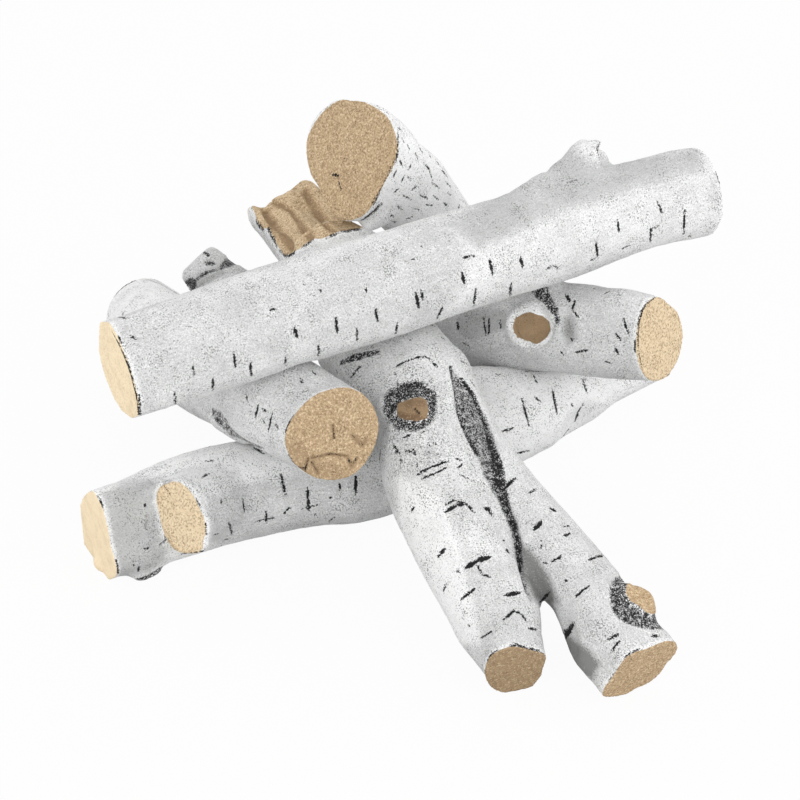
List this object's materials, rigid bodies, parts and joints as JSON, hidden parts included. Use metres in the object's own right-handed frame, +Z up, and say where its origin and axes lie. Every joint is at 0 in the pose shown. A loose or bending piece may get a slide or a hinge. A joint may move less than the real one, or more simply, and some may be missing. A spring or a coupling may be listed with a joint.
{
  "type": "gas log set",
  "caption": "Stack of loose cast ceramic white-birch logs with sawn ends, knots, branch stubs and a split forked log, as laid in a gas fire.",
  "frame": {"origin": "centre of the set's bounding box in plan, at the hearth surface that the logs stand on", "axes": "+Z up; -Y towards the viewer, where the forked log's legs come forward; +X to the viewer's right, where the top log's branch stub is"},
  "size_m": [0.4248, 0.4824, 0.2027],
  "materials": {
    "birch_ceramic": "matt painted birch bark with tan sawn ends"
  },
  "bodies": {
    "front_base": {"front_base_log": "birch_ceramic"},
    "rear_cross": {"rear_cross_log": "birch_ceramic"},
    "left_cross": {"left_cross_log": "birch_ceramic"},
    "forked": {"forked_log": "birch_ceramic"},
    "leaning": {"leaning_log": "birch_ceramic"},
    "top": {"top_log": "birch_ceramic"}
  },
  "joints": [
    {"name": "rear_cross_lift", "type": "slide", "parent": "front_base", "child": "rear_cross", "axis": [0, 0, 1], "range_m": [0, 0.08]},
    {"name": "left_cross_lift", "type": "slide", "parent": "rear_cross", "child": "left_cross", "axis": [0, 0, 1], "range_m": [0, 0.08]},
    {"name": "forked_lift", "type": "slide", "parent": "left_cross", "child": "forked", "axis": [0, 0, 1], "range_m": [0, 0.12]},
    {"name": "leaning_lift", "type": "slide", "parent": "forked", "child": "leaning", "axis": [0, 0, 1], "range_m": [0, 0.12]},
    {"name": "top_lift", "type": "slide", "parent": "forked", "child": "top", "axis": [0, 0, 1], "range_m": [0, 0.08]}
  ]
}
